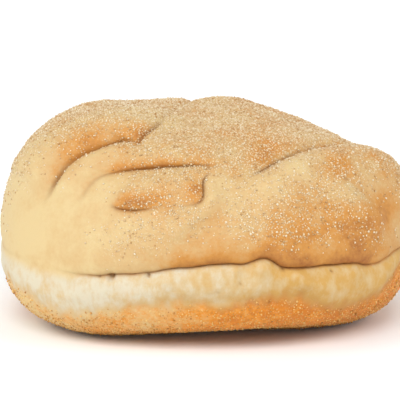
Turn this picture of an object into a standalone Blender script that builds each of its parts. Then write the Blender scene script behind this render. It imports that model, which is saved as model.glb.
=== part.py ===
"""Folded crusty bread roll, baked as one piece, so it is one solid.

Units are metres, +Z up. The roll rests on z = 0 with its middle on the Z axis. Its length runs
along X, and the side with the folds looks towards -Y.

Every point of the crust is found from the direction in which it lies, seen from the heart of the
dough: a plain rounded body first, then the broad swellings, then the folds and the split that
runs round the side. Directions are given as (azimuth, elevation) in degrees, with azimuth 0
towards the front and 90 towards the right-hand end.
"""

import math

import bmesh
import bpy
import numpy as np

# Driving dimensions
LENGTH = 0.110
DEPTH = 0.098
HEIGHT = 0.057

# The plain body
HEART_HEIGHT = 0.35 * HEIGHT  # level at which the roll is widest
UNDERSIDE_REACH = 0.39 * HEIGHT  # below the heart, before the oven floor flattens it
PLAN_SQUARENESS = 2.35  # 2 is an ellipse, and more is squarer
TOP_SQUARENESS = 2.35
UNDERSIDE_SQUARENESS = 2.9
MEAN_RADIUS = 0.45 * (LENGTH + DEPTH) / 2  # turns an angle over the crust into a length

# The broad swellings of the dough: azimuth, elevation, spread in degrees, height
SWELLINGS = (
    (-92, 42, 28, 0.0065),  # left shoulder
    (-150, 30, 25, 0.0015),  # left back
    (150, 63, 26, 0.0024),  # crown
    (95, 46, 16, -0.0024),  # right back, where the top slopes away
    (58, 42, 9, -0.0010),  # behind the right-hand lobe
    (73, 24, 20, 0.0049),  # right-hand lobe
    (-53, -28, 25, 0.0027),  # lower left
    (75, -24, 25, 0.0022),  # lower right
)

# The split between the upper crust and the pale band: elevation round the roll
SPLIT_ELEVATION = 2.6
SPLIT_WAVES = ((1, 20, 0.5), (2, -40, 0.5), (5, 30, 0.3))  # waves round, phase, height in degrees
SPLIT_ARCH = (8, 18, 3.8)  # azimuth, spread and height of the lift at the front
SPLIT_DEPTH = 0.0009
LIP_SWELL = 0.0006  # how far the upper crust stands over the split
LIP_WIDTH = 0.0030
LIP_REACH = 0.0080
SPLIT_CREASE = 0.0012  # how gently the band curves up into the split
BAND_SWELL = 0.0010  # how far the pale band bulges under the split
BAND_WIDTH = 0.0090

# The hollow that keeps the front edge off the table: middle x and y, spread x and y, lift
FOOT_HOLLOW = (0.009, -0.033, 0.034, 0.014, 0.0028)

LEDGE = 0.35  # how soon the dough under a fold comes back up, as a share of the lip's width
ON_TABLE = 1e-7  # a vertex lower than this lies on the table
PATH_SAMPLES = 97  # points along a fold
CELLS = 26  # mesh cells along each edge of the cube that the body is blown up from

CRUST_COLOUR = (0.72, 0.47, 0.22, 1.0)
CRUST_ROUGHNESS = 0.75


class Fold:
    """A crease where one lobe of dough lies over the next.

    The lobe with the rounded lip is on the left of the path, looking along it from outside.
    """

    def __init__(self, path, strengths, rise, cut, lip, reach):
        self.samples = smooth_path(path)
        self.tangents = np.gradient(self.samples, axis=0)
        self.tangents /= np.linalg.norm(self.tangents, axis=1)[:, None]
        self.sides = np.cross(self.samples, self.tangents)
        places = np.linspace(0, 1, len(path))
        self.strength = np.interp(np.linspace(0, 1, PATH_SAMPLES), places, strengths)
        self.rise = rise
        self.cut = cut
        self.lip = lip
        self.reach = reach


def direction(azimuth, elevation):
    a, e = math.radians(azimuth), math.radians(elevation)
    return np.array((math.cos(e) * math.sin(a), -math.cos(e) * math.cos(a), math.sin(e)))


def smooth_path(path):
    """Unit vectors along a Catmull-Rom curve through (azimuth, elevation) points."""
    knots = [direction(*point) for point in path]
    knots = [2 * knots[0] - knots[1], *knots, 2 * knots[-1] - knots[-2]]
    found = []
    for place in np.linspace(0, len(path) - 1, PATH_SAMPLES):
        k = min(int(place), len(path) - 2)
        t = place - k
        a, b, c, d = knots[k : k + 4]
        square = (2 * a - 5 * b + 4 * c - d) * t**2
        cube = (3 * b - a - 3 * c + d) * t**3
        found.append((2 * b + (c - a) * t + square + cube) / 2)
    found = np.array(found)
    return found / np.linalg.norm(found, axis=1)[:, None]


def folds():
    """The folds, named by where they are on the roll."""
    return {
        # over the left shoulder, over the crown and down the back
        "shoulder": Fold(
            ((-54, 14), (-53, 22), (-52.5, 29), (-50, 36.5), (-43, 43), (-34, 46.5), (-31, 54), (-36, 66),
             (-60, 76), (-150, 80), (-170, 64), (-166, 46), (-160, 28)),
            (0, 0.5, 0.9, 1, 0.9, 0.7, 0.5, 0.35, 0.3, 0.4, 0.5, 0.5, 0),
            rise=0.0028, cut=0.0014, lip=0.0055, reach=0.013,
        ),
        # the long crease across the front, over the flap of the knot
        "brow": Fold(
            ((-41, 19), (-39.5, 27), (-30, 34), (-18, 37), (-8, 38.3), (2, 38.5)),
            (0, 0.3, 0.7, 1, 0.9, 0),
            rise=0.0016, cut=0.0012, lip=0.0038, reach=0.009,
        ),
        # the lower edge and the tucked end of the flap
        "flap": Fold(
            ((-31, 21.6), (-23.5, 20.8), (-12, 22.6), (-3, 24), (-0.4, 27), (-0.3, 31.5), (4, 36)),
            (0, 0.8, 0.5, 0.5, 0.9, 0.8, 0),
            rise=0.0014, cut=0.0008, lip=0.0038, reach=0.008,
        ),
        # between the right-hand lobe and the crown, from behind to the middle of the front
        "right": Fold(
            ((110, 8), (104, 20), (92, 30), (76, 35.5), (62, 39), (48, 40.2), (33, 38), (20, 34), (11, 31)),
            (0, 0.6, 0.9, 1, 1, 1, 1, 0.6, 0),
            rise=0.0018, cut=0.0020, lip=0.0060, reach=0.012,
        ),
        # across the back, between the crown and the right-hand lobe
        "nape": Fold(
            ((136, 76), (143, 60), (140, 44), (136, 30), (140, 14)),
            (0, 0.7, 1, 0.8, 0),
            rise=0.0016, cut=0.0014, lip=0.0050, reach=0.012,
        ),
        # a short pleat behind the left shoulder
        "pleat": Fold(
            ((-140, 56), (-128, 46), (-118, 34), (-114, 22)),
            (0, 1, 0.8, 0),
            rise=0.0014, cut=0.0012, lip=0.0045, reach=0.010,
        ),
    }


def rounded_step(x):
    """0 below x = 0, rounding over to 1 at x = 1."""
    x = np.clip(x, 0, 1)
    return x * x * (3 - 2 * x)


def fold_height(fold, directions):
    """How far a fold moves the crust outwards at each direction."""
    nearest = np.argmax(directions @ fold.samples.T, axis=1)
    offset = directions - fold.samples[nearest]
    side = np.sign(np.einsum("ij,ij->i", offset, fold.sides[nearest]))
    across = side * np.linalg.norm(offset, axis=1) * MEAN_RADIUS
    edge = rounded_step(across / fold.lip)
    past_lip = np.clip(across - fold.lip, 0, None)
    lobe = (fold.rise * np.exp(-((past_lip / fold.reach) ** 2)) + fold.cut) * edge - fold.cut
    ledge = -fold.cut * np.exp(across / (LEDGE * fold.lip))
    return fold.strength[nearest] * np.where(across > 0, lobe, ledge)


def split_height(azimuth, elevation):
    """How far the split and the band below it move the crust outwards."""
    middle, spread, rise = SPLIT_ARCH
    level = SPLIT_ELEVATION + rise * np.exp(-(((azimuth - middle) / spread) ** 2))
    for waves, phase, height in SPLIT_WAVES:
        level = level + height * np.sin(np.radians(waves * azimuth + phase))
    above = np.radians(elevation - level) * MEAN_RADIUS
    edge = rounded_step(above / LIP_WIDTH)
    lip = (LIP_SWELL + SPLIT_DEPTH) * edge - SPLIT_DEPTH
    past_lip = np.clip(above - LIP_WIDTH, 0, None)
    lip = lip - LIP_SWELL * (1 - np.exp(-((past_lip / LIP_REACH) ** 2)))
    crease = -SPLIT_DEPTH * np.exp(above / SPLIT_CREASE)
    band = BAND_SWELL * np.sin(np.pi * np.clip(-above / BAND_WIDTH, 0, 1)) ** 2
    return np.where(above > 0, lip, crease + band)


def body_radius(directions):
    """Distance from the heart to the plain, swollen body."""
    plan = (
        (np.abs(directions[:, 0]) / (LENGTH / 2)) ** PLAN_SQUARENESS
        + (np.abs(directions[:, 1]) / (DEPTH / 2)) ** PLAN_SQUARENESS
    ) ** (1 / PLAN_SQUARENESS)
    upper = directions[:, 2] > 0
    squareness = np.where(upper, TOP_SQUARENESS, UNDERSIDE_SQUARENESS)
    reach = np.where(upper, HEIGHT - HEART_HEIGHT, UNDERSIDE_REACH)
    radius = (plan**squareness + (np.abs(directions[:, 2]) / reach) ** squareness) ** (-1 / squareness)
    for azimuth, elevation, spread, height in SWELLINGS:
        angle = np.degrees(np.arccos(np.clip(directions @ direction(azimuth, elevation), -1, 1)))
        radius = radius + height * np.exp(-((angle / spread) ** 2))
    return radius


def crust(directions):
    """Points of the crust in these directions from the heart."""
    azimuth = np.degrees(np.arctan2(directions[:, 0], -directions[:, 1]))
    elevation = np.degrees(np.arcsin(np.clip(directions[:, 2], -1, 1)))
    radius = body_radius(directions) + split_height(azimuth, elevation)
    for fold in folds().values():
        radius = radius + fold_height(fold, directions)
    points = directions * radius[:, None]
    points[:, 2] += HEART_HEIGHT
    x, y, spread_x, spread_y, lift = FOOT_HOLLOW
    near_foot = np.exp(-(((points[:, 0] - x) / spread_x) ** 2) - ((points[:, 1] - y) / spread_y) ** 2)
    under = np.clip(1 - points[:, 2] / HEART_HEIGHT, 0, 1)
    points[:, 2] += lift * near_foot * under
    points[:, 2] = np.maximum(points[:, 2], 0)
    return points


def fitted(points):
    """The same points, made exactly LENGTH x DEPTH x HEIGHT and centred over the origin."""
    low, high = points.min(axis=0), points.max(axis=0)
    middle = (low + high) / 2
    middle[2] = 0
    span = high - low
    return (points - middle) * np.array((LENGTH, DEPTH, HEIGHT)) / span


def blown_up_cube():
    """A cube's grid with its vertices moved out to unit directions, evenly spaced."""
    mesh = bmesh.new()
    bmesh.ops.create_cube(mesh, size=2.0)
    bmesh.ops.subdivide_edges(mesh, edges=mesh.edges[:], cuts=CELLS - 1, use_grid_fill=True)
    for vertex in mesh.verts:
        vertex.co = [math.tan(c * math.pi / 4) for c in vertex.co]
        vertex.co.normalize()
    return mesh


def flatten_foot(mesh):
    """Makes the faces that lie on the table one flat face."""
    on_table = [f for f in mesh.faces if all(abs(v.co.z) < ON_TABLE for v in f.verts)]
    bmesh.ops.dissolve_faces(mesh, faces=on_table, use_verts=True)


def crust_material():
    material = bpy.data.materials.new("baked_crust")
    material.use_nodes = True
    shader = material.node_tree.nodes["Principled BSDF"]
    shader.inputs["Base Color"].default_value = CRUST_COLOUR
    shader.inputs["Roughness"].default_value = CRUST_ROUGHNESS
    shader.inputs["Metallic"].default_value = 0.0
    return material


def bread_roll():
    mesh = blown_up_cube()
    directions = np.array([tuple(v.co) for v in mesh.verts])
    for vertex, point in zip(mesh.verts, fitted(crust(directions))):
        vertex.co = point
    flatten_foot(mesh)
    bmesh.ops.recalc_face_normals(mesh, faces=mesh.faces[:])
    data = bpy.data.meshes.new("bread_roll")
    mesh.to_mesh(data)
    mesh.free()
    data.materials.append(crust_material())
    data.shade_smooth()
    roll = bpy.data.objects.new("bread_roll", data)
    bpy.context.scene.collection.objects.link(roll)
    return roll


for old in list(bpy.data.objects):
    bpy.data.objects.remove(old)
bread_roll()
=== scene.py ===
import math

import bpy
import numpy as np
from mathutils import Matrix, Vector, noise


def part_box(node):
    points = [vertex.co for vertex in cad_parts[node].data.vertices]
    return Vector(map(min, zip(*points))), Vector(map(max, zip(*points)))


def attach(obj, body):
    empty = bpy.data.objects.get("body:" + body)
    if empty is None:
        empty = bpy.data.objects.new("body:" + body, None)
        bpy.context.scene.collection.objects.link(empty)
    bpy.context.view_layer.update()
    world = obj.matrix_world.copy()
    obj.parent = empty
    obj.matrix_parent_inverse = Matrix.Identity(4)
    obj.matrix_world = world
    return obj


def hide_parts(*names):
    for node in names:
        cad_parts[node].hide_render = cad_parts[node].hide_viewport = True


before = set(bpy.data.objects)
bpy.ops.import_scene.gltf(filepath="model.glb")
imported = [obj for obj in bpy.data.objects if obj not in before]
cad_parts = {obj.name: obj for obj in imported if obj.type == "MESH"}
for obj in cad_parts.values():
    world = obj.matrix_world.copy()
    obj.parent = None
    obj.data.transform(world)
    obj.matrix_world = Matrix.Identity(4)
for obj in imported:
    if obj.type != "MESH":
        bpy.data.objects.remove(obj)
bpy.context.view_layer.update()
rollLow, rollHigh = (np.array(corner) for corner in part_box("bread_roll"))
rollSize = rollHigh - rollLow
print("frame loaded, the roll is", [round(1000 * float(side), 1) for side in rollSize], "mm")


# what the oven made of the dough: shares are of the roll's own size, lengths in metres
dough = {
    "cells": 126,  # mesh cells along each edge of the cube the skin is blown up from
    "heart": 0.35,  # level of the widest part, as a share of the height
    "underReach": 0.39,  # how far down the round underside would go, before the foot cuts it flat
    "planSquareness": 2.35,  # 2 is an ellipse, more is squarer
    "topSquareness": 2.35,
    "underSquareness": 2.9,
    "footHollow": (0.009, -0.033, 0.034, 0.014, 0.0028),  # x, y, spread x, spread y, lift
}

# broad swellings: azimuth, elevation, spread in degrees, height
swellings = (
    (-92, 42, 28, 0.0065),  # left shoulder
    (-150, 30, 25, 0.0015),  # left back
    (150, 63, 26, 0.0024),  # crown
    (95, 46, 16, -0.0024),  # right back, where the top slopes away
    (58, 42, 9, -0.0010),  # behind the right-hand lobe
    (73, 24, 20, 0.0049),  # right-hand lobe
    (-53, -28, 25, 0.0027),  # lower left
    (75, -24, 25, 0.0022),  # lower right
)

# the burst round the side: the lip of the upper crust, and the pale band that rose under it
burst = {
    "level": (  # azimuth, elevation, how far open
        (-180, 2.5, 1.0), (-150, 3.4, 0.9), (-120, 2.2, 0.8), (-92, 3.2, 0.4), (-72, 2.4, 0.1),
        (-58, 2.2, 0.05), (-43, 1.1, 0.05), (-32, 0.9, 0.45), (-24, 1.9, 0.6), (-16, 2.8, 0.6),
        (-9, 4.2, 0.9), (-1, 5.1, 1.0), (6, 5.7, 1.0), (12, 5.6, 0.9), (17, 6.9, 1.0), (20, 6.3, 1.0),
        (24, 4.0, 0.9), (30, 3.5, 1.0), (44, 3.1, 1.0), (53, 1.3, 0.7), (66, 3.4, 0.5), (95, 3.2, 1.0),
        (125, 1.6, 0.8), (155, 3.6, 1.0),
    ),
    "foot": (  # azimuth, elevation of the band's lower edge
        (-180, -7.5), (-140, -6), (-100, -7.5), (-67, -6.6), (-56, -8.2), (-44, -11), (-31, -10),
        (-16, -7.8), (-4, -7.3), (3, -7.6), (14, -6.2), (28, -5.5), (38, -10), (46, -9.6), (53, -9.2),
        (60, -5), (68, -1.5), (90, -4), (120, -8), (150, -6),
    ),
    "waver": 0.16,  # unevenness of the lip's edge, in degrees
    "waves": ((23, 10), (41, 80), (67, 200)),  # how many go round, and where each starts
    "calm": 20,  # the more waves go round, the lower they are
    "depth": 0.0012,
    "ledge": 0.0009,  # how soon the band comes back up under the lip
    "lipSwell": 0.0007,
    "lipWidth": 0.0030,
    "lipReach": 0.0080,
    "overhang": 0.0006,
    "bandSwell": 0.0011,
    "bandRoundness": 1.5,
    "shutSwell": 0.3,  # what stays of the swell where the burst is shut
}

# creases where one lobe lies over the next; the rounded lip is on the left of each path
foldPlan = {
    "shoulder": dict(
        path=((-53.7, 18), (-52.8, 22.5), (-52.5, 26.5), (-52.7, 31.5), (-50, 36.5), (-45.5, 41.5),
              (-39.5, 45), (-31.5, 45.5), (-26.5, 45.3)),
        strength=(0, 0.5, 0.9, 1, 1, 1, 0.95, 0.6, 0),
        rise=0.0034, cut=0.0014, lip=0.0068, reach=0.013, overhang=0.0007,
    ),
    "crown": dict(
        path=((-33, 42.3), (-31.7, 45.4), (-31.3, 49.7), (-30.5, 54), (-31, 59), (-37.5, 67),
              (-57, 75.6), (-130, 79), (-168, 64), (-166, 46), (-160, 28)),
        strength=(0, 0.6, 0.9, 0.9, 0.6, 0.5, 0.35, 0.3, 0.7, 0.8, 0),
        rise=0.0015, cut=0.0013, lip=0.0050, reach=0.011, overhang=0.0006,
    ),
    "brow": dict(
        path=((-40.7, 20), (-40, 23.5), (-39, 28), (-35.5, 31.5), (-29.7, 34.2), (-23, 36),
              (-16.5, 37.3), (-9.5, 38), (-3, 38.5), (3, 38.3), (9, 37.7), (15, 37)),
        strength=(0, 0.3, 0.4, 0.55, 0.85, 1, 1, 1, 0.8, 0.4, 0.15, 0),
        rise=0.0018, cut=0.0012, lip=0.0040, reach=0.009, overhang=0.0007,
    ),
    "flap": dict(
        path=((-30.6, 21.8), (-27.5, 20.9), (-23.4, 20.8), (-19, 21.4), (-14.8, 22.3), (-8, 23.2),
              (-2.9, 23.9), (-0.6, 25.4), (-0.2, 28.3), (-0.3, 31.5), (1, 34), (3.5, 36)),
        strength=(0, 0.8, 0.9, 0.6, 0.2, 0.15, 0.5, 0.9, 1, 0.9, 0.6, 0),
        rise=0.0012, cut=0.0010, lip=0.0036, reach=0.007, overhang=0.0005,
    ),
    "spur": dict(
        path=((-32, 45), (-27, 43.7), (-22.3, 41.4), (-18.8, 38.5)),
        strength=(0, 0.9, 0.9, 0),
        rise=0.0006, cut=0.0004, lip=0.0028, reach=0.006, overhang=0.0,
    ),
    "right": dict(
        path=((110, 8), (104, 20), (92, 30), (77, 35.5), (63, 39), (50, 40.2), (40, 39.4), (32.5, 38),
              (25.8, 35.8), (21.3, 34.3), (16.7, 32.5), (11.7, 31)),
        strength=(0, 0.6, 0.9, 1, 1, 1, 1, 1, 0.9, 0.7, 0.35, 0),
        rise=0.0019, cut=0.0022, lip=0.0064, reach=0.011, overhang=0.0002,
    ),
    "nape": dict(
        path=((136, 76), (143, 60), (140, 44), (136, 30), (140, 14)),
        strength=(0, 0.7, 1, 0.8, 0),
        rise=0.0018, cut=0.0014, lip=0.0055, reach=0.012, overhang=0.0006,
    ),
    "pleat": dict(
        path=((-140, 56), (-128, 46), (-118, 34), (-114, 22)),
        strength=(0, 1, 0.8, 0),
        rise=0.0016, cut=0.0012, lip=0.0048, reach=0.010, overhang=0.0005,
    ),
}

# soft ridges and hollows that belong to no crease: path, height, width
ridges = (
    # on the right-hand lobe, beside it, and along its edge
    (((41, 30), (43.9, 24.6), (47.3, 19), (52, 12.2), (57, 6.5)), 0.0020, 0.0036),
    (((31, 27), (36.2, 19), (40, 10.5)), -0.0007, 0.0060),
    (((62, 24), (60.5, 16), (60, 8)), -0.0006, 0.0045),
    (((16, 29), (21, 29.8), (28.8, 32.7), (39.6, 35), (49.7, 35.4), (58, 34)), 0.0011, 0.0030),
    (((45, 32), (54, 31.1), (60, 26)), 0.0006, 0.0050),
    # the strip between the shoulder and the brow, with its wrinkles
    (((-49, 20), (-48.5, 27.8), (-47, 32.2), (-44, 35.8), (-39.3, 39.4), (-31, 41.8)), 0.0012, 0.0024),
    (((-43, 27), (-40.8, 31.6), (-36.4, 33.6), (-30, 35.5)), -0.0004, 0.0009),
    (((-58, 18), (-54.5, 20.3), (-49, 25)), -0.0004, 0.0014),
    # the flap, and the slope down from its end
    (((-29, 25), (-19.3, 29), (-10.6, 30.5), (-3, 30.8)), 0.0010, 0.0034),
    (((6, 31), (2.9, 26.6), (0.5, 22.4), (-3.7, 20.1), (-8.2, 15.7), (-11, 11)), 0.0015, 0.0026),
    (((10, 22), (3.3, 17), (-3, 11)), -0.0005, 0.0055),
    # strands torn across the band
    (((25.2, 3.2), (27.3, 1.4), (29.4, -1.2), (32, -4.2)), 0.0008, 0.0014),
    (((30, 2.6), (33.5, 0.5), (38, -1.4)), -0.0006, 0.0014),
    (((12, 1), (15, -2), (19, -5)), 0.0005, 0.0016),
    (((-8, 1), (-6, -3), (-5, -6)), 0.0004, 0.0015),
    (((52, 0), (55, -3), (57, -7)), 0.0004, 0.0016),
)

# small holes and puffs along the burst: azimuth, elevation, width in degrees, height
pits = (
    (-27.3, 1.0, 1.1, -0.0020),
    (-30.6, 0.7, 0.5, -0.0006),
    (-16.4, 1.9, 0.7, -0.0012),
    (10.5, 0.1, 0.45, -0.0008),
    (4.0, -3.1, 0.4, -0.0006),
    (23.4, 3.4, 0.7, -0.0008),
    (38, 1.6, 0.5, -0.0006),
    (101, -1.0, 0.5, -0.0007),
    (163, 0.4, 0.5, -0.0007),
    (-128, -0.6, 0.6, -0.0008),
    (9.6, 3.6, 1.5, 0.0007),
    (17.3, 4.4, 2.3, 0.0009),
    (44.5, 1.0, 3.0, 0.0008),
    (-10, 0.8, 3.0, 0.0004),
    (120, -1.5, 3.0, 0.0006),
    (-165, 0.0, 3.0, 0.0007),
)

foldLedge = 0.0010  # how soon the dough under a fold comes back up
tuckLean = 0.8  # under 1, a lip leans out furthest near its crease
gather = {"reach": 0.0060, "power": 1.45, "gain": 1.6}  # how the skin's mesh crowds in along the creases
pathSamples = 241
roundSamples = 40  # for each point of a curve that goes round the side
meanRadius = 0.45 * (rollSize[0] + rollSize[1]) / 2  # turns an angle over the crust into a length


def wayTo(azimuth, elevation):
    a = np.radians(azimuth)
    e = np.radians(elevation)
    return np.stack((np.cos(e) * np.sin(a), -np.cos(e) * np.cos(a), np.sin(e)), axis=-1)


def anglesOf(ways):
    azimuth = np.degrees(np.arctan2(ways[:, 0], -ways[:, 1]))
    elevation = np.degrees(np.arcsin(np.clip(ways[:, 2], -1, 1)))
    return azimuth, elevation


def unit(vectors):
    return vectors / np.maximum(np.linalg.norm(vectors, axis=1), 1e-12)[:, None]


def blownUpCube(cells):
    steps = np.tan(np.linspace(-1, 1, cells + 1) * math.pi / 4)
    u, v = np.meshgrid(steps, steps, indexing="ij")
    corners, quads = [], []
    for axis in range(3):
        for end in (-1.0, 1.0):
            side = np.empty(u.shape + (3,))
            side[..., axis] = end
            side[..., (axis + 1) % 3] = u
            side[..., (axis + 2) % 3] = v
            at = np.arange(u.size).reshape(u.shape) + len(corners) * u.size
            loop = np.stack((at[:-1, :-1], at[1:, :-1], at[1:, 1:], at[:-1, 1:]), axis=-1)
            loop = loop.reshape(-1, 4)
            quads.append(loop if end > 0 else loop[:, ::-1])
            corners.append(side.reshape(-1, 3))
    ways = unit(np.concatenate(corners))
    _, first, where = np.unique(np.round(ways, 6), axis=0, return_index=True, return_inverse=True)
    return ways[first], where.ravel()[np.concatenate(quads)]


def catmullRom(knots, samples):
    knots = np.vstack((2 * knots[0] - knots[1], knots, 2 * knots[-1] - knots[-2]))
    place = np.linspace(0, len(knots) - 3, samples)
    k = np.minimum(place.astype(int), len(knots) - 4)
    t = (place - k)[:, None]
    a, b, c, d = (knots[k + n] for n in range(4))
    bend = (2 * a - 5 * b + 4 * c - d) * t**2
    twist = (3 * b - a - 3 * c + d) * t**3
    return 0.5 * (2 * b + (c - a) * t + bend + twist)


def layFold(plan):
    fold = dict(plan)
    points = np.array(plan["path"], float)
    line = unit(catmullRom(wayTo(points[:, 0], points[:, 1]), pathSamples))
    fold["line"] = line
    fold["along"] = unit(np.gradient(line, axis=0))
    fold["side"] = np.cross(line, fold["along"])
    fold["gap"] = np.linalg.norm(np.gradient(line, axis=0), axis=1) / 2
    places = np.linspace(0, 1, len(points))
    fold["fade"] = np.interp(np.linspace(0, 1, pathSamples), places, plan["strength"])
    return fold


def acrossFold(fold, ways):
    nearest = np.argmax(ways @ fold["line"].T, axis=1)
    offset = ways - fold["line"][nearest]
    along = fold["along"][nearest]
    slide = np.clip(np.einsum("ij,ij->i", offset, along), -fold["gap"][nearest], fold["gap"][nearest])
    offset = offset - slide[:, None] * along
    sign = np.sign(np.einsum("ij,ij->i", offset, fold["side"][nearest]))
    across = sign * np.linalg.norm(offset, axis=1) * meanRadius
    return across, fold["fade"][nearest], fold["side"][nearest]


def gatherToFold(fold, ways):
    across, fade, side = acrossFold(fold, ways)
    near = np.clip(np.abs(across) / gather["reach"], 0, 1)
    wanted = near ** gather["power"] * gather["reach"] * np.sign(across)
    pull = np.where(near < 1, wanted - across, 0) * np.clip(gather["gain"] * fade, 0, 1)
    return unit(ways + side * (pull / meanRadius)[:, None])


def goRound(azimuth, points, column):
    points = np.array(points, float)
    turn = np.zeros(points.shape[1])
    turn[0] = 360
    loop = np.vstack((points[-2:] - turn, points, points[:2] + turn))
    curve = catmullRom(loop, roundSamples * len(points))
    return np.interp(azimuth, curve[:, 0], curve[:, column])


def burstLevel(azimuth):
    level = goRound(azimuth, burst["level"], 1)
    for waves, phase in burst["waves"]:
        wave = burst["waver"] * np.sin(np.radians(waves * azimuth + phase))
        level = level + wave * burst["calm"] / (burst["calm"] + waves)
    return level, goRound(azimuth, burst["level"], 2)


def gatherToBurst(ways):
    azimuth, elevation = anglesOf(ways)
    above = np.radians(elevation - burstLevel(azimuth)[0]) * meanRadius
    near = np.clip(np.abs(above) / gather["reach"], 0, 1)
    wanted = near ** gather["power"] * gather["reach"] * np.sign(above)
    moved = elevation + np.degrees(np.where(near < 1, wanted - above, 0) / meanRadius)
    return wayTo(azimuth, moved)


def smoothStep(x):
    x = np.clip(x, 0, 1)
    return x * x * (3 - 2 * x)


def quarterRound(x, roundness=1.7):
    return np.clip(1 - (1 - np.clip(x, 0, 1)) ** roundness, 0, 1) ** (1 / roundness)


def foldMove(fold, ways):
    across, fade, side = acrossFold(fold, ways)
    edge = quarterRound(across / fold["lip"])
    pastLip = np.clip(across - fold["lip"], 0, None)
    cut = fold["cut"] * fade
    lobe = (fold["rise"] * np.exp(-((pastLip / fold["reach"]) ** 2)) + cut) * edge - cut
    ledge = -cut * np.exp(across / foldLedge)
    out = fade * np.where(across > 0, lobe, ledge)
    tuck = fold["overhang"] * fade * np.sin(math.pi * np.clip(across / fold["lip"], 0, 1) ** tuckLean)
    return out, -side * tuck[:, None]


def burstMove(ways):
    azimuth, elevation = anglesOf(ways)
    level, openness = burstLevel(azimuth)
    above = np.radians(elevation - level) * meanRadius
    edge = quarterRound(above / burst["lipWidth"])
    pastLip = np.clip(above - burst["lipWidth"], 0, None)
    lip = (burst["lipSwell"] + burst["depth"]) * edge - burst["depth"]
    lip = lip - burst["lipSwell"] * (1 - np.exp(-((pastLip / burst["lipReach"]) ** 2)))
    crease = -burst["depth"] * np.exp(above / burst["ledge"])
    width = np.radians(level - goRound(azimuth, burst["foot"], 1)) * meanRadius
    swell = burst["bandSwell"] * (burst["shutSwell"] + (1 - burst["shutSwell"]) * openness)
    band = swell * np.sin(math.pi * np.clip(-above / width, 0, 1)) ** burst["bandRoundness"]
    out = openness * np.where(above > 0, lip, crease) + np.where(above > 0, 0, band)
    inLip = np.clip(above / burst["lipWidth"], 0, 1)
    tuck = burst["overhang"] * openness * np.sin(math.pi * inLip**tuckLean)
    down = np.stack((np.zeros(len(ways)), np.zeros(len(ways)), -np.ones(len(ways))), axis=1)
    return out, down * tuck[:, None], above, openness, width


def ridgeMove(ways, path, height, width):
    fold = layFold({"path": path, "strength": (0,) + (1,) * (len(path) - 2) + (0,)})
    across, fade, _ = acrossFold(fold, ways)
    return height * smoothStep(fade) * np.exp(-((across / width) ** 2))


def pitMove(ways, azimuth, elevation, width, height):
    angle = np.degrees(np.arccos(np.clip(ways @ wayTo(azimuth, elevation), -1, 1)))
    return height * np.exp(-((angle / width) ** 2))


def plainRadius(ways):
    squareness = dough["planSquareness"]
    across = (np.abs(ways[:, 0]) / (rollSize[0] / 2)) ** squareness
    deep = (np.abs(ways[:, 1]) / (rollSize[1] / 2)) ** squareness
    plan = (across + deep) ** (1 / squareness)
    upper = ways[:, 2] > 0
    power = np.where(upper, dough["topSquareness"], dough["underSquareness"])
    reach = np.where(upper, 1 - dough["heart"], dough["underReach"]) * rollSize[2]
    radius = (plan**power + (np.abs(ways[:, 2]) / reach) ** power) ** (-1 / power)
    for azimuth, elevation, spread, height in swellings:
        angle = np.degrees(np.arccos(np.clip(ways @ wayTo(azimuth, elevation), -1, 1)))
        radius = radius + height * np.exp(-((angle / spread) ** 2))
    return radius


def settle(points):
    x, y, spreadX, spreadY, lift = dough["footHollow"]
    nearFoot = np.exp(-(((points[:, 0] - x) / spreadX) ** 2) - ((points[:, 1] - y) / spreadY) ** 2)
    under = np.clip(1 - points[:, 2] / (dough["heart"] * rollSize[2]), 0, 1)
    points[:, 2] += lift * nearFoot * under
    points[:, 2] = np.maximum(points[:, 2], 0)
    low, high = points.min(axis=0), points.max(axis=0)
    middle = (low + high) / 2
    middle[2] = 0
    return (points - middle) * rollSize / (high - low)


folds = {name: layFold(plan) for name, plan in foldPlan.items()}
ways, quads = blownUpCube(dough["cells"])
for name in folds:
    ways = gatherToFold(folds[name], ways)
ways = gatherToBurst(ways)
radius = plainRadius(ways)
shift = np.zeros_like(ways)
for name in folds:
    out, tuck = foldMove(folds[name], ways)
    radius = radius + out
    shift = shift + tuck
out, tuck, aboveBurst, burstOpen, bandWidth = burstMove(ways)
radius = radius + out
for ridge in ridges:
    radius = radius + ridgeMove(ways, *ridge)
for pit in pits:
    radius = radius + pitMove(ways, *pit)
points = ways * radius[:, None] + shift + tuck
points[:, 2] += dough["heart"] * rollSize[2]
points = settle(points)
print("dough shaped:", len(points), "points")


# wrinkles, blisters and stretch marks: size and height of each, in metres
skin = {
    "lumps": (0.0140, 0.00040),  # the broad unevenness
    "waves": (0.0060, 0.00030),
    "wrinkles": (0.0024, 0.00016),
    "pores": (0.0012, 0.00011),
    "stretch": (0.0026, 0.00008),  # ridges that run up the pale band
    "stretchTall": 0.22,  # under 1 draws them out upwards
    "band": (0.0050, 0.00042),  # how unevenly the band has burst
    "bandTall": 0.6,
    "gather": (0.0009, 0.00007),  # fine wrinkles that run along the creases
    "gatherSway": (0.0040, 3.0),  # size and share of their waviness
    "gatherReach": 0.0045,
    "gatherStart": 0.0006,
    "smooth": ((-50, 14, 26), (-85, 8, 26), (70, 12, 10)),  # smooth places: azimuth, elevation, spread
    "smoothing": 0.7,
}

# how one part of the skin passes into the next, in metres
borders = {
    "bandBroad": (0.0120, 0.6),  # size and share of the waver in the band's lower edge
    "bandFine": (0.0020, 1.2),
    "bandFineTall": 0.35,
    "bandWaver": 0.0014,
    "bandFade": 0.0052,
    "seam": 0.0006,  # under an open lip
    "shutSeam": 0.0024,  # what it gains where the burst is shut
    "shutUnder": 2.5,  # 1 over the openness at which it starts to shut
    "foot": 0.0012,
}


def makeMesh(name, points, quads):
    mesh = bpy.data.meshes.new(name)
    mesh.from_pydata(points.tolist(), [], quads.tolist())
    mesh.shade_smooth()
    mesh.update()
    return mesh


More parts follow.
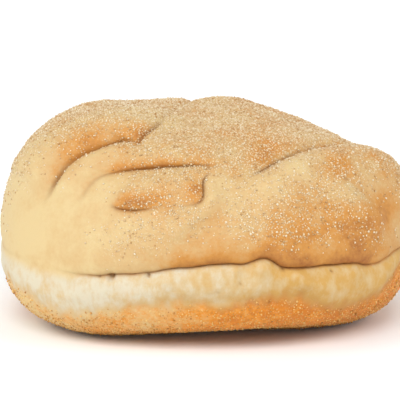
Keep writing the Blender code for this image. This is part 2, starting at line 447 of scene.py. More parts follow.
noiseStep = (7.3, 3.1, 5.7)  # how far apart the patterns of two seeds lie


def noiseOn(places, size, seed):
    start = Vector([seed * step for step in noiseStep])
    return np.array([noise.noise(Vector(place) + start) for place in (places / size).tolist()])


def nearWay(azimuth, elevation, spread):
    angle = np.degrees(np.arccos(np.clip(ways @ wayTo(azimuth, elevation), -1, 1)))
    return np.exp(-((angle / spread) ** 2))


def stretched(places, height):
    return places * (1, 1, height)


def reliefOf(layer, places, seed, mask=1):
    size, height = skin[layer]
    return mask * height * noiseOn(places, size, seed)


def gatherRipple(name):
    # fine ripples beside a crease, on the side that lies under it
    across, fade, _ = acrossFold(folds[name], ways)
    length, height = skin["gather"]
    size, share = skin["gatherSway"]
    ripple = np.sin(across / length * 2 + share * noiseOn(points, size, 10))
    near = np.exp(-((across / skin["gatherReach"]) ** 2))
    return height * fade * ripple * near * smoothStep(-across / skin["gatherStart"])


azimuths, elevations = anglesOf(ways)
rollSkin = makeMesh("crust", points, quads)
(broadSize, broadShare), (fineSize, fineShare) = borders["bandBroad"], borders["bandFine"]
edgeNoise = broadShare * noiseOn(points, broadSize, 1)
edgeNoise = edgeNoise + fineShare * noiseOn(stretched(points, borders["bandFineTall"]), fineSize, 2)
below = -aboveBurst
bandEnd = (below - bandWidth - borders["bandWaver"] * edgeNoise) / borders["bandFade"]  # 0 at half fade
seamWidth = borders["seam"] + borders["shutSeam"] * smoothStep(1 - borders["shutUnder"] * burstOpen)
paleBand = smoothStep(below / seamWidth) * smoothStep(0.5 - bandEnd)
underCrust = smoothStep(below / seamWidth) * smoothStep(0.5 + bandEnd)
upperCrust = smoothStep(aboveBurst / seamWidth)
onFoot = smoothStep(1 - points[:, 2] / borders["foot"])

smoothPart = 1 - skin["smoothing"] * np.clip(sum(nearWay(*place) for place in skin["smooth"]), 0, 1)
relief = reliefOf("lumps", points, 3)
for seed, layer in ((4, "waves"), (5, "wrinkles"), (6, "pores")):
    relief += reliefOf(layer, points, seed, smoothPart)
for name in ("shoulder", "brow", "flap", "spur"):
    relief += gatherRipple(name)
relief += reliefOf("stretch", stretched(points, skin["stretchTall"]), 7, paleBand)
relief += reliefOf("band", stretched(points, skin["bandTall"]), 8, paleBand)
relief *= 1 - onFoot
points = points + ways * relief[:, None]
points[:, 2] = np.maximum(points[:, 2], 0)
rollSkin.vertices.foreach_set("co", points.astype(np.float32).ravel())
rollSkin.update()
print("skin wrinkled")


# where the crust is browned, with painted shade on the lip faces that hang over the creases and the
# burst; 0 is the palest dough, 1 the darkest crust
browningAndShade = {
    "base": 0.24,
    "patches": (  # azimuth, elevation, spread, amount
        (-45, 14, 22, -0.14),  # the smooth pale front left
        (-78, 10, 30, -0.28),
        (-57, 20, 5, 0.12),
        (-8, 8, 9, 0.12),
        (3, 13, 8, 0.16),
        (37, 13, 14, 0.28),  # the hollow of the right-hand lobe
        (46, 6, 9, 0.20),
        (24, 10.5, 8, 0.24),  # toasted above the burst
        (15, 11, 8, 0.26),
        (46, 10, 8, 0.22),
        (-8, 9, 8, 0.10),
        (-49, 29.5, 4.5, 0.22),
        (68, 27, 7, 0.20),
        (41, 24, 5, -0.14),
        (-42, 58, 9, -0.18),
        (-22, 64, 9, -0.12),
        (60, 15, 7, 0.50),  # its smooth toasted end
        (50, 31, 6, 0.36),
        (46, 20, 5, -0.12),  # the ridge between
        (62, 30, 7, 0.06),
        (-50, 40, 8, 0.09),
        (7, 28, 7, -0.20),  # right of the flap's end
        (22, 30, 5, -0.24),  # the edge of the right-hand lobe
        (33, 33.5, 5, -0.26),
        (46, 36, 5, -0.20),
        (31, 42, 5, 0.38),  # and the hollow behind it
        (44, 44, 6, 0.12),
        (22, 40, 5, 0.16),
        (-41, 37.5, 6, 0.04),
        (-26, 23, 4, 0.34),  # the lower edge of the flap
        (-20, 23, 4, 0.22),
        (-13, 24, 5, 0.22),
        (-3, 28.7, 3, 0.30),  # and its end
        (-35, 49, 4, 0.20),
        (-36, 36, 5, 0.12),
        (-12, 29, 8, 0.16),
        (140, 20, 40, 0.14),
        (-140, 20, 40, 0.08),
    ),
    "underDust": 0.16,  # how much darker the crust is where the meal lies thick
    # lips over a crease or the burst are darker on their faces: browning and painted shade; width,
    # amount
    "lips": (("shoulder", 0.0066, 0.40), ("brow", 0.0026, 0.50), ("flap", 0.0030, 0.26)),
    "crownLip": (0.0040, 0.34),
    "burstLip": (0.0060, 0.34, 1.5),  # width, amount, how sharply it ends
    "burstLipFrom": (-30, 25),  # azimuth where it starts, degrees to its full amount
    "mottle": ((0.0110, 0.16, 11), (0.0035, 0.14, 12)),  # size, amount, seed
    "band": (  # azimuth, tone
        (-180, 0.5), (-110, 0.2), (-60, 0.03), (-30, 0.10), (0, 0.42), (25, 0.82), (60, 0.88),
        (120, 0.55), (180, 0.5),
    ),
    "bandMottle": ((0.0055, 0.30, 16), (0.0022, 0.22, 17)),
    "bandEdge": (0.30, 0.8),  # amount, how far it reaches up the band
    "underCrust": (
        (-180, 0.7), (-110, 0.55), (-60, 0.26), (-35, 0.40), (-10, 0.62), (25, 0.90), (58, 0.98),
        (85, 0.76), (130, 0.72), (180, 0.66),
    ),
    "underMottle": ((0.0090, 0.26, 13), (0.0022, 0.22, 18)),
    "nearTable": (0.0100, 0.28),  # darker towards the table: height, amount
}

# where the loose meal lies, on top and underneath
dusting = {
    "base": 0.86,
    "patches": (
        (-45, 14, 22, -0.90),
        (-75, 8, 26, -0.70),
        (-14, 9, 9, -0.45),
        (3, 12, 10, -0.70),
        (61, 14, 11, -0.95),  # the smooth right-hand end
        (42, 6, 9, -0.62),  # the toasted lip above the burst
        (28, 7, 7, -0.35),
        (-14, 28, 7, -0.20),
        (-41, 37.5, 6, -0.55),  # the smooth strip between the folds
        (-36, 28, 8, -0.30),
        (6, 30, 8, -0.50),
        (22, 30, 5, -0.45),
        (38, 14, 10, -0.15),
        (34, 33.5, 5, -0.45),
        (47, 35.5, 4, -0.30),
        (-70, 55, 26, 0.30),
        (10, 55, 24, 0.25),
    ),
    "drift": (0.0060, 0.30),  # size and amount of its unevenness
    "clearOfLip": (0.0012, 0.0060),  # where it starts above the burst, and how soon it is full
    "thinLips": (("shoulder", 0.0055, 0.6), ("brow", 0.0026, 0.6)),  # width, amount
    "grit": 0.85,
    "gritDrift": (0.0050, 0.40),
    "gritFrom": 0.3,  # share of under crust at which the grit starts
    "clearOfTable": 0.0006,  # no loose grit lies lower than this
}

# dark lines in the creases, in metres: painted shade in the creases, under the burst's lip, in small
# holes and round the foot's rim, and the foot's own scorched crust
shadeLinesAndScorch = {
    "gain": 1.3,  # how soon a line is full along its fold
    "folds": (  # width, darkness
        ("shoulder", 0.0004, 0.45), ("brow", 0.0006, 0.6), ("flap", 0.0005, 0.85),
        ("crown", 0.0005, 0.8), ("nape", 0.0004, 0.6), ("pleat", 0.0004, 0.6),
    ),
    "shoulderFoot": (0.0006, 0.8, (-53, 24, 9)),  # width, darkness and place
    "right": (0.0005, (27, 36.3, 7)),
    "burst": 0.00048,
    "burstOpening": 1.4,  # how soon the line is full as the burst opens
    "burstFaint": (0.65, (58, 3, 15)),  # fainter round the right-hand end
    "footRimShade": (0.0026, 0.0005, 0.9),  # painted contact shade round the foot, with some darker bottom crust: top, bottom, darkness
    "scorch": (0.35, 0.0070, 0.30),  # where it stood in the oven: tone, size and share of the mottling
    "pitShadeShare": 0.8,  # width of the painted shade in a small hole
    "lipEdge": 0.0008,  # how sharply a lip's browning and painted shade end at its crease
    "topEnd": (60, 62, 10),  # elevation past which the lips' browning and painted shade fade, then the painted shade lines, and over how many degrees
}


def patchy(plan):
    found = np.full(len(ways), plan["base"])
    for azimuth, elevation, spread, amount in plan["patches"]:
        found = found + amount * nearWay(azimuth, elevation, spread)
    return found


def mottled(layers):
    return sum(amount * noiseOn(points, size, seed) for size, amount, seed in layers)


def roundTone(tones):
    tones = np.array(tones)
    return np.interp(azimuths, tones[:, 0], tones[:, 1])


def lipFace(name, width, amount):
    across, fade, _ = acrossFold(folds[name], ways)
    edge = smoothStep((across + shadeLinesAndScorch["lipEdge"] / 2) / shadeLinesAndScorch["lipEdge"])
    return amount * (fade * edge * np.exp(-((np.clip(across, 0, None) / width) ** 3)))


def foldShadeLine(name, width):
    across, fade, _ = acrossFold(folds[name], ways)
    return np.clip(shadeLinesAndScorch["gain"] * fade, 0, 1) * np.exp(-((across / width) ** 2))


lipTop, lineTop, topFade = shadeLinesAndScorch["topEnd"]
size, amount = dusting["drift"]
dust = np.clip(patchy(dusting) + amount * noiseOn(points, size, 14), 0, 1) * upperCrust
start, full = dusting["clearOfLip"]
dust *= smoothStep((aboveBurst - start) / full)
dust *= 1 - sum(lipFace(*lip) for lip in dusting["thinLips"])
size, amount = dusting["gritDrift"]
grit = np.clip(dusting["grit"] + amount * noiseOn(points, size, 15), 0, 1)
grit *= smoothStep((underCrust - dusting["gritFrom"]) / (1 - dusting["gritFrom"]))

bakeAndShade = patchy(browningAndShade) + browningAndShade["underDust"] * dust
bakeAndShade += sum(lipFace(*lip) for lip in browningAndShade["lips"])
width, amount = browningAndShade["crownLip"]
bakeAndShade += lipFace("crown", width, amount) * smoothStep((lipTop - elevations) / topFade)
width, amount, power = browningAndShade["burstLip"]
start, turn = browningAndShade["burstLipFrom"]
bakeAndShade += amount * smoothStep(1 - aboveBurst / width) ** power * smoothStep((azimuths - start) / turn)
bakeAndShade += mottled(browningAndShade["mottle"])
bandBake = roundTone(browningAndShade["band"]) + mottled(browningAndShade["bandMottle"])
amount, reach = browningAndShade["bandEdge"]
bandBake += amount * smoothStep(bandEnd + reach)
height, amount = browningAndShade["nearTable"]
underBake = roundTone(browningAndShade["underCrust"]) + amount * smoothStep(1 - points[:, 2] / height)
underBake += mottled(browningAndShade["underMottle"])
bakeAndShade = bakeAndShade * upperCrust + bandBake * (1 - upperCrust) * (1 - underCrust) + underBake * underCrust
bakeAndShade = np.clip(bakeAndShade, 0, 1)

# crease: painted shade in the creases, under the burst's lip and in small holes, contact shade round the
# foot's rim, and the scorched foot's own colour
crease = np.zeros(len(points))
for name, width, darkness in shadeLinesAndScorch["folds"]:
    crease = np.maximum(crease, darkness * foldShadeLine(name, width))
width, darkness, place = shadeLinesAndScorch["shoulderFoot"]
crease = np.maximum(crease, darkness * foldShadeLine("shoulder", width) * nearWay(*place))
crease *= smoothStep((lineTop - elevations) / topFade)
width, place = shadeLinesAndScorch["right"]
crease = np.maximum(crease, foldShadeLine("right", width) * nearWay(*place))
faint, place = shadeLinesAndScorch["burstFaint"]
burstShadeLine = np.clip(shadeLinesAndScorch["burstOpening"] * burstOpen, 0, 1) * (1 - faint * nearWay(*place))
crease = np.maximum(crease, burstShadeLine * np.exp(-((aboveBurst / shadeLinesAndScorch["burst"]) ** 2)))
top, bottom, darkness = shadeLinesAndScorch["footRimShade"]
footRimShade = smoothStep(1 - points[:, 2] / top) * smoothStep(points[:, 2] / bottom)
crease = np.maximum(crease, darkness * footRimShade)
tone, size, share = shadeLinesAndScorch["scorch"]
scorched = tone + share * noiseOn(points, size, 19)
crease = np.maximum(crease, np.clip(scorched, 0, 1) * onFoot)
for azimuth, elevation, width, height in pits:
    if height < 0:
        crease = np.maximum(crease, nearWay(azimuth, elevation, shadeLinesAndScorch["pitShadeShare"] * width))
clear = dusting["clearOfTable"]
looseGrit = grit * smoothStep((points[:, 2] - clear) / clear)


def paint(mesh, name, values):
    layer = mesh.attributes.new(name, "FLOAT", "POINT")
    layer.data.foreach_set("value", values.astype(np.float32))


for name, values in (
    ("bakeAndShade", bakeAndShade), ("pale", paleBand), ("crease", crease), ("dust", dust), ("grit", grit),
    ("under", underCrust), ("looseGrit", looseGrit),
):
    paint(rollSkin, name, values)
crustPiece = bpy.data.objects.new("crust", rollSkin)
bpy.context.scene.collection.objects.link(crustPiece)
print("crust painted")


def addNode(tree, kind, at, **settings):
    made = tree.nodes.new(kind)
    made.location = at
    for name, value in settings.items():
        setattr(made, name, value)
    return made


def fill(madeNode, **values):
    for name, value in values.items():
        madeNode.inputs[name.replace("_", " ")].default_value = value
    return madeNode


def blend(tree, at, factor, low, high):
    mix = addNode(tree, "ShaderNodeMix", at, data_type="RGBA", clamp_factor=True)
    for socket, value in ((mix.inputs[0], factor), (mix.inputs[6], low), (mix.inputs[7], high)):
        if isinstance(value, bpy.types.NodeSocket):
            tree.links.new(value, socket)
        else:
            socket.default_value = value
    return mix.outputs[2]


def sums(tree, at, operation, first, second, clamp=False):
    made = addNode(tree, "ShaderNodeMath", at, operation=operation, use_clamp=clamp)
    for socket, value in zip(made.inputs, (first, second)):
        if isinstance(value, bpy.types.NodeSocket):
            tree.links.new(value, socket)
        else:
            socket.default_value = value
    return made.outputs[0]


def attribute(tree, name, at):
    return addNode(tree, "ShaderNodeAttribute", at, attribute_name=name).outputs["Fac"]


def newGroup(name, inputs, outputs):
    tree = bpy.data.node_groups.new(name, "ShaderNodeTree")
    for label, kind, value in inputs:
        socket = tree.interface.new_socket(label, in_out="INPUT", socket_type=kind)
        socket.default_value = value
    for label, kind in outputs:
        tree.interface.new_socket(label, in_out="OUTPUT", socket_type=kind)
    return tree, addNode(tree, "NodeGroupInput", (-700, 0)), addNode(tree, "NodeGroupOutput", (700, 0))


def buildOvenTone():
    # patchy browning, with fine mottling inside the patches
    tree, come, go = newGroup(
        "ovenTone",
        (("Patches", "NodeSocketFloat", 90.0), ("Mottle", "NodeSocketFloat", 700.0)),
        (("Tone", "NodeSocketFloat"),),
    )
    where = addNode(tree, "ShaderNodeTexCoord", (-700, 300)).outputs["Object"]
    broad = fill(addNode(tree, "ShaderNodeTexNoise", (-450, 200)), Detail=3.0, Roughness=0.55)
    fine = fill(addNode(tree, "ShaderNodeTexNoise", (-450, -100)), Detail=4.0, Roughness=0.65)
    tree.links.new(where, broad.inputs["Vector"])
    tree.links.new(where, fine.inputs["Vector"])
    tree.links.new(come.outputs["Patches"], broad.inputs["Scale"])
    tree.links.new(come.outputs["Mottle"], fine.inputs["Scale"])
    both = sums(tree, (-100, 0), "ADD", broad.outputs["Fac"], fine.outputs["Fac"])
    tree.links.new(sums(tree, (200, 0), "SUBTRACT", both, 1.0), go.inputs["Tone"])
    return tree


def buildMealSpecks():
    # fine meal stuck to the crust: a mask of round specks
    tree, come, go = newGroup(
        "mealSpecks",
        (("Scale", "NodeSocketFloat", 1500.0), ("Cover", "NodeSocketFloat", 0.5)),
        (("Mask", "NodeSocketFloat"),),
    )
    where = addNode(tree, "ShaderNodeTexCoord", (-700, 300)).outputs["Object"]
    cells = addNode(tree, "ShaderNodeTexVoronoi", (-450, 200), feature="F1")
    pick = addNode(tree, "ShaderNodeTexVoronoi", (-450, -150), feature="F1")
    for voronoi in (cells, pick):
        tree.links.new(where, voronoi.inputs["Vector"])
        tree.links.new(come.outputs["Scale"], voronoi.inputs["Scale"])
    apart = addNode(tree, "ShaderNodeSeparateColor", (-200, -150))
    tree.links.new(pick.outputs["Color"], apart.inputs[0])
    chosen = sums(tree, (0, -150), "LESS_THAN", apart.outputs[0], come.outputs["Cover"])
    dome = addNode(tree, "ShaderNodeMapRange", (-200, 200), interpolation_type="SMOOTHSTEP")
    fill(dome, From_Min=0.42, From_Max=0.22)
    tree.links.new(cells.outputs["Distance"], dome.inputs["Value"])
    mask = sums(tree, (250, 0), "MULTIPLY", dome.outputs[0], chosen)
    tree.links.new(mask, go.inputs["Mask"])
    return tree


ovenTone = buildOvenTone()
mealSpecks = buildMealSpecks()

crustFinish = {
    "palest": (0.655, 0.490, 0.240, 1),
    "golden": (0.600, 0.388, 0.168, 1),
    "toasted": (0.565, 0.250, 0.050, 1),
    "dark": (0.350, 0.120, 0.024, 1),
    "underPale": (0.720, 0.490, 0.210, 1),
    "underGlow": (0.740, 0.275, 0.024, 1),
    "underToast": (0.620, 0.195, 0.014, 1),
    "crumb": (0.640, 0.562, 0.410, 1),
    "crumbShade": (0.605, 0.435, 0.220, 1),
    "crumbBaked": (0.575, 0.330, 0.088, 1),
    "meal": (0.770, 0.655, 0.435, 1),
    # painted shade in the creases, holes and foot rim, and the scorched foot's crust
    "shadeAndScorchColour": (0.250, 0.095, 0.020, 1),
    "patches": 120.0,  # a higher scale makes finer patches, mottling, streaks, specks or grain
    "mottle": 900.0,
    "toneShare": 0.45,  # how much the oven's patches change the crust
    "underToneShare": 0.45,  # and how much more they change its underside
    "streaks": 520.0,
    "streakShare": 1.5,
    "streakTall": 0.6,
    "specks": 1500.0,
    "speckCover": 0.85,
    "grain": 1600.0,
    "gritShare": 0.25,
    "dustShare": 0.75,
    "shadeAndScorchShare": 0.85,
    "grainShare": 0.6,
    "bump": (0.70, 0.00018),  # strength and height in metres
    "roughness": 0.62,
    "shine": 0.35,
    "translucence": 0.06,
    "glowDepth": (0.0022, 0.0011, 0.0005),  # how far light passes through the crust, in metres
}


def toneRamp(tree, at, tone, stops):
    ramp = addNode(tree, "ShaderNodeValToRGB", at)
    ramp.color_ramp.elements[0].position, ramp.color_ramp.elements[0].color = stops[0]
    ramp.color_ramp.elements[1].position, ramp.color_ramp.elements[1].color = stops[-1]
    for position, colour in stops[1:-1]:
        ramp.color_ramp.elements.new(position).color = colour
    tree.links.new(tone, ramp.inputs[0])
    return ramp.outputs[0]


def placeGroup(tree, group, at, **values):
    made = addNode(tree, "ShaderNodeGroup", at, node_tree=group)
    return fill(made, **values)


def newFinish(name):
    material = bpy.data.materials.new(name)
    material.use_nodes = True
    return material, material.node_tree, material.node_tree.nodes["Principled BSDF"]


def ovenColour(tree, finish):
    oven = placeGroup(tree, ovenTone, (-1500, 300), Patches=finish["patches"], Mottle=finish["mottle"])
    under = attribute(tree, "under", (-1700, 600))
    underMore = sums(tree, (-1500, 600), "MULTIPLY", under, finish["underToneShare"])
    share = sums(tree, (-1400, 500), "ADD", underMore, finish["toneShare"])
    toneShare = sums(tree, (-1300, 300), "MULTIPLY", oven.outputs["Tone"], share)
    bakeAndShade = attribute(tree, "bakeAndShade", (-1300, 500))
    baked = sums(tree, (-1100, 300), "ADD", bakeAndShade, toneShare, clamp=True)
    top = toneRamp(tree, (-900, 300), baked, (
        (0.0, finish["palest"]), (0.36, finish["golden"]),
        (0.70, finish["toasted"]), (1.0, finish["dark"]),
    ))
    glow = toneRamp(tree, (-900, 500), baked, (
        (0.30, finish["underPale"]), (0.78, finish["underGlow"]), (1.0, finish["underToast"]),
    ))
    return blend(tree, (-700, 400), under, top, glow)


def crumbColour(tree, finish, where):
    # the pale band, faintly streaked where the dough stretched upwards
    lay = addNode(tree, "ShaderNodeMapping", (-1500, -100))
    fill(lay, Scale=(1.0, 1.0, finish["streakTall"]))
    tree.links.new(where, lay.inputs["Vector"])
    streaks = addNode(tree, "ShaderNodeTexNoise", (-1300, -100))
    fill(streaks, Scale=finish["streaks"], Detail=5.0, Roughness=0.65)
    tree.links.new(lay.outputs[0], streaks.inputs["Vector"])
    streak = sums(tree, (-1200, -100), "SUBTRACT", streaks.outputs["Fac"], 0.5)
    streakShare = sums(tree, (-1100, -100), "MULTIPLY", streak, finish["streakShare"])
    bakeAndShade = attribute(tree, "bakeAndShade", (-1200, -250))
    warm = sums(tree, (-1000, -100), "ADD", bakeAndShade, streakShare, clamp=True)
    return toneRamp(tree, (-900, -100), warm, (
        (0.0, finish["crumb"]), (0.5, finish["crumbShade"]), (1.0, finish["crumbBaked"]),
    ))


def bakedCrust():
    finish = crustFinish
    material, tree, shader = newFinish("bakedCrust")
    where = addNode(tree, "ShaderNodeTexCoord", (-1700, 0)).outputs["Object"]
    colour = ovenColour(tree, finish)
    crumb = crumbColour(tree, finish, where)
    colour = blend(tree, (-600, 200), attribute(tree, "pale", (-900, 0)), colour, crumb)

    # meal dust, thick on the ridges and on the underside
    grit = attribute(tree, "grit", (-1100, -550))
    gritShare = sums(tree, (-1000, -550), "MULTIPLY", grit, finish["gritShare"])
    thick = sums(tree, (-900, -400), "ADD", attribute(tree, "dust", (-1100, -400)), gritShare)
    specks = placeGroup(
        tree, mealSpecks, (-900, -650), Scale=finish["specks"], Cover=finish["speckCover"],
    )
    dusted = sums(tree, (-700, -500), "MULTIPLY", thick, specks.outputs["Mask"])
    dustShare = sums(tree, (-550, -500), "MULTIPLY", dusted, finish["dustShare"])
    colour = blend(tree, (-350, 200), dustShare, colour, finish["meal"])
    # painted shade: dark lines in the creases and under the burst's lip, dark small holes and a dark
    # foot rim, mixed with the scorched foot's own crust colour
    crease = attribute(tree, "crease", (-700, 500))
    shadeAndScorchShare = sums(tree, (-500, 500), "MULTIPLY", crease, finish["shadeAndScorchShare"])
    colour = blend(tree, (-150, 200), shadeAndScorchShare, colour, finish["shadeAndScorchColour"])
    tree.links.new(colour, shader.inputs["Base Color"])

    # fine skin grain under the dust
    grain = addNode(tree, "ShaderNodeTexNoise", (-900, -900))
    fill(grain, Scale=finish["grain"], Detail=3.0, Roughness=0.6)
    tree.links.new(where, grain.inputs["Vector"])
    grainShare = sums(tree, (-700, -900), "MULTIPLY", grain.outputs["Fac"], finish["grainShare"])
    height = sums(tree, (-500, -800), "ADD", dusted, grainShare)
    strength, distance = finish["bump"]
    bump = fill(addNode(tree, "ShaderNodeBump", (-250, -600)), Strength=strength, Distance=distance)
    tree.links.new(height, bump.inputs["Height"])
    tree.links.new(bump.outputs[0], shader.inputs["Normal"])
    fill(shader, Roughness=finish["roughness"], Metallic=0.0)
    fill(shader, Subsurface_Weight=finish["translucence"], Subsurface_Scale=1.0)
    fill(shader, Subsurface_Radius=finish["glowDepth"], Specular_IOR_Level=finish["shine"])
    return material


mealFinishes = {
    "semolina": {
        "light": (0.830, 0.730, 0.540, 1),
        "middle": (0.710, 0.545, 0.320, 1),
        "dark": (0.480, 0.250, 0.080, 1),
    },
    "cornGrit": {
        "light": (0.810, 0.550, 0.205, 1),
        "middle": (0.705, 0.375, 0.085, 1),
        "dark": (0.460, 0.190, 0.034, 1),
    },
    "patches": 120.0,
    "mottle": 500.0,
    "toneShare": 0.5,
    "roughness": 0.55,
}


def mealGrain(name):
    finish = mealFinishes
    colours = finish[name]
    material, tree, shader = newFinish(name)
    oven = placeGroup(tree, ovenTone, (-900, 0), Patches=finish["patches"], Mottle=finish["mottle"])
    toneShare = sums(tree, (-700, 0), "MULTIPLY", oven.outputs["Tone"], finish["toneShare"])
    shade = attribute(tree, "shade", (-700, 200))
    mixed = sums(tree, (-500, 0), "ADD", shade, toneShare, clamp=True)
    colour = toneRamp(tree, (-300, 0), mixed, (
        (0.0, colours["light"]), (0.55, colours["middle"]), (1.0, colours["dark"]),
    ))
    tree.links.new(colour, shader.inputs["Base Color"])
    fill(shader, Roughness=finish["roughness"], Metallic=0.0)
    return material


crustPiece.data.materials.append(bakedCrust())


# the loose meal: small chips with two flat ends
chip = {
    "sides": 5,
    "top": 0.62,  # radius of one end, as a share of the other
    "length": 1.35,
    "turn": 6.283,  # any way round, in radians
    "least": (0.65, 0.65, 0.65),  # stretch along each side
    "most": (1.25, 1.1, 0.95),
    "seeds": {"spin": 11, "size": 23, "shape": 37, "shade": 51},
}


def buildScatter():
    tree = bpy.data.node_groups.new("scatteredMeal", "GeometryNodeTree")
    face = tree.interface
    face.new_socket("Geometry", in_out="INPUT", socket_type="NodeSocketGeometry")
    for label, kind, value in (
        ("Cover", "NodeSocketString", "dust"), ("Facing", "NodeSocketFloat", 1.0),
        ("Spacing", "NodeSocketFloat", 0.0006), ("Most Per Area", "NodeSocketFloat", 1.0e6),
        ("Smallest", "NodeSocketFloat", 0.0001), ("Largest", "NodeSocketFloat", 0.0003),
        ("Finish", "NodeSocketMaterial", None), ("Seed", "NodeSocketInt", 1),
    ):
        socket = face.new_socket(label, in_out="INPUT", socket_type=kind)
        if value is not None:
            socket.default_value = value
    face.new_socket("Geometry", in_out="OUTPUT", socket_type="NodeSocketGeometry")
    come = addNode(tree, "NodeGroupInput", (-1300, 0))
    go = addNode(tree, "NodeGroupOutput", (1300, 0))

    place = addNode(tree, "GeometryNodeInputPosition", (-1300, -350))
    apart = addNode(tree, "ShaderNodeSeparateXYZ", (-1100, -350))
    tree.links.new(place.outputs[0], apart.inputs[0])
    half = sums(tree, (-900, -350), "MULTIPLY", apart.outputs["Y"], come.outputs["Facing"])
    inHalf = addNode(
        tree, "FunctionNodeCompare", (-700, -350), data_type="FLOAT", operation="GREATER_THAN",
    )
    tree.links.new(half, inHalf.inputs["A"])
    cover = addNode(tree, "GeometryNodeInputNamedAttribute", (-900, -100), data_type="FLOAT")
    tree.links.new(come.outputs["Cover"], cover.inputs["Name"])

    strew = addNode(
        tree, "GeometryNodeDistributePointsOnFaces", (-450, 100), distribute_method="POISSON",
    )
    for source, socket in (
        (come.outputs["Geometry"], "Mesh"), (inHalf.outputs[0], "Selection"),
        (come.outputs["Spacing"], "Distance Min"), (come.outputs["Most Per Area"], "Density Max"),
        (cover.outputs["Attribute"], "Density Factor"), (come.outputs["Seed"], "Seed"),
    ):
        tree.links.new(source, strew.inputs[socket])

    grain = addNode(tree, "GeometryNodeMeshCone", (-450, -250), fill_type="NGON")
    fill(grain, Vertices=chip["sides"], Radius_Top=chip["top"], Radius_Bottom=1.0, Depth=chip["length"])
    spin = addNode(tree, "FunctionNodeRandomValue", (-450, -450), data_type="FLOAT_VECTOR")
    spin.inputs["Max"].default_value = (chip["turn"],) * 3
    turn = addNode(tree, "FunctionNodeEulerToRotation", (-250, -450))
    tree.links.new(spin.outputs["Value"], turn.inputs[0])
    size = addNode(tree, "FunctionNodeRandomValue", (-450, -700), data_type="FLOAT")
    tree.links.new(come.outputs["Smallest"], size.inputs[2])
    tree.links.new(come.outputs["Largest"], size.inputs[3])
    shape = addNode(tree, "FunctionNodeRandomValue", (-450, -900), data_type="FLOAT_VECTOR")
    shape.inputs["Min"].default_value = chip["least"]
    shape.inputs["Max"].default_value = chip["most"]
    scale = addNode(tree, "ShaderNodeVectorMath", (-200, -800), operation="SCALE")
    tree.links.new(shape.outputs["Value"], scale.inputs[0])
    tree.links.new(size.outputs[1], scale.inputs["Scale"])

    strewn = addNode(tree, "GeometryNodeInstanceOnPoints", (0, 0))
    tree.links.new(strew.outputs["Points"], strewn.inputs["Points"])
    tree.links.new(grain.outputs["Mesh"], strewn.inputs["Instance"])
    tree.links.new(turn.outputs[0], strewn.inputs["Rotation"])
    tree.links.new(scale.outputs[0], strewn.inputs["Scale"])
    shade = addNode(tree, "FunctionNodeRandomValue", (0, -350), data_type="FLOAT")
    for name, random in (("spin", spin), ("size", size), ("shape", shape), ("shade", shade)):
        random.inputs["Seed"].default_value = chip["seeds"][name]
    store = addNode(
        tree, "GeometryNodeStoreNamedAttribute", (250, 0), data_type="FLOAT", domain="INSTANCE",
    )
    store.inputs["Name"].default_value = "shade"
    tree.links.new(strewn.outputs[0], store.inputs["Geometry"])
    tree.links.new(shade.outputs[1], store.inputs["Value"])
    real = addNode(tree, "GeometryNodeRealizeInstances", (500, 0))
    tree.links.new(store.outputs[0], real.inputs[0])
    smooth = addNode(tree, "GeometryNodeSetShadeSmooth", (700, 0))
    tree.links.new(real.outputs[0], smooth.inputs["Geometry"])
    finish = addNode(tree, "GeometryNodeSetMaterial", (900, 0))
    tree.links.new(smooth.outputs[0], finish.inputs["Geometry"])
    tree.links.new(come.outputs["Finish"], finish.inputs["Material"])
    tree.links.new(finish.outputs[0], go.inputs[0])
    return tree


scatter = buildScatter()


def strewMeal(name, plan):
    piece = bpy.data.objects.new(name, rollSkin.copy())
    bpy.context.scene.collection.objects.link(piece)
    modifier = piece.modifiers.new("scatteredMeal", "NODES")
    modifier.node_group = scatter
    for item in scatter.interface.items_tree:
        if item.in_out == "INPUT" and item.name in plan:
            modifier[item.identifier] = plan[item.name]
    graph = bpy.context.evaluated_depsgraph_get()
    mesh = bpy.data.meshes.new_from_object(piece.evaluated_get(graph), depsgraph=graph)
    piece.modifiers.clear()
    piece.data = mesh
    mesh.name = name
    print(name, "strewn,", len(mesh.polygons) // (chip["sides"] + 2), "grains")
    return piece


topMeal = {
    "Cover": "dust",
    "Spacing": 0.00054,
    "Most Per Area": 9.0e6,
    "Smallest": 0.00015,
    "Largest": 0.00034,
    "Finish": mealGrain("semolina"),
}
baseMeal = {
    "Cover": "looseGrit",
    "Spacing": 0.00062,
    "Most Per Area": 4.0e6,
    "Smallest": 0.00016,
    "Largest": 0.00034,
    "Finish": mealGrain("cornGrit"),
}
mealPieces = [
    strewMeal("semolinaFront", {**topMeal, "Facing": -1.0, "Seed": 3}),
    strewMeal("semolinaBack", {**topMeal, "Facing": 1.0, "Seed": 4}),
    strewMeal("cornGritFront", {**baseMeal, "Facing": -1.0, "Seed": 5}),
    strewMeal("cornGritBack", {**baseMeal, "Facing": 1.0, "Seed": 6}),
]


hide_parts("bread_roll")
for piece in [crustPiece, *mealPieces]:
    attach(piece, "root")


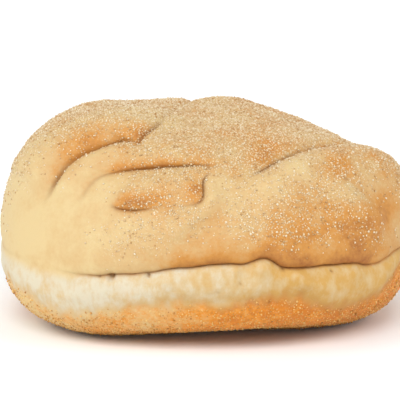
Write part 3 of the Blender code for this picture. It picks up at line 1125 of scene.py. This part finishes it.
# floor, light and camera
studio = {
    "floor": (0.950, 0.980, 1.000, 1),
    "floorRings": ((2.2, 0.0), (3.2, 0.7)),  # half width and height: flat, then rising at its rim
    "floorRoughness": 0.9,
    "floorShine": 0.1,
    "sky": 0.34,
    "lamps": (  # name, where it shines from, strength, width in degrees
        ("frontSun", (-0.15, -0.93, 1.00), 1.62, 38.0),
        ("leftSun", (-1.00, -0.35, 0.70), 1.18, 40.0),
        ("rightSun", (1.00, -0.35, 0.70), 0.90, 40.0),
        ("backSun", (0.15, 1.00, 0.75), 0.42, 40.0),
    ),
    "cameraRise": 11.0,
    "cameraDistance": 0.50,
    "cameraAim": (-0.0015, 0.0, 0.0303),
    "cameraLens": 167.0,
    "cameraSensor": 36.0,
    "cameraNearest": 0.01,
}


def aimAt(thing, place, target):
    toward = Vector(target) - Vector(place)
    turn = toward.to_track_quat("-Z", "Y").to_matrix().to_4x4()
    thing.matrix_world = Matrix.Translation(Vector(place)) @ turn


def softLamps():
    for name, place, strength, width in studio["lamps"]:
        lamp = bpy.data.lights.new(name, "SUN")
        lamp.energy = strength
        lamp.angle = math.radians(width)
        made = bpy.data.objects.new(name, lamp)
        bpy.context.scene.collection.objects.link(made)
        aimAt(made, place, (0, 0, 0))


def paleFloor():
    mesh = bpy.data.meshes.new("floor")
    square = ((-1, -1), (1, -1), (1, 1), (-1, 1))
    corners = [(x * half, y * half, z) for half, z in studio["floorRings"] for x, y in square]
    rim = [(n, (n + 1) % 4, (n + 1) % 4 + 4, n + 4) for n in range(4)]
    mesh.from_pydata(corners, [], [(0, 1, 2, 3), *[side[::-1] for side in rim]])
    floor = bpy.data.objects.new("floor", mesh)
    bpy.context.scene.collection.objects.link(floor)
    material, _, shader = newFinish("paleFloor")
    fill(shader, Base_Color=studio["floor"], Roughness=studio["floorRoughness"])
    fill(shader, Specular_IOR_Level=studio["floorShine"])
    mesh.materials.append(material)


def whiteSky():
    world = bpy.data.worlds.new("whiteSky")
    world.use_nodes = True
    fill(world.node_tree.nodes["Background"], Color=(1, 1, 1, 1), Strength=studio["sky"])
    bpy.context.scene.world = world


def frontCamera():
    lens = bpy.data.cameras.new("camera")
    lens.lens = studio["cameraLens"]
    lens.sensor_width = studio["cameraSensor"]
    lens.clip_start = studio["cameraNearest"]
    camera = bpy.data.objects.new("camera", lens)
    bpy.context.scene.collection.objects.link(camera)
    rise = math.radians(studio["cameraRise"])
    aim = Vector(studio["cameraAim"])
    back = Vector((0, -math.cos(rise), math.sin(rise)))
    aimAt(camera, aim + back * studio["cameraDistance"], aim)
    bpy.context.scene.camera = camera


paleFloor()
whiteSky()
softLamps()
frontCamera()
bpy.context.scene.view_settings.view_transform = "Standard"
print("studio set")
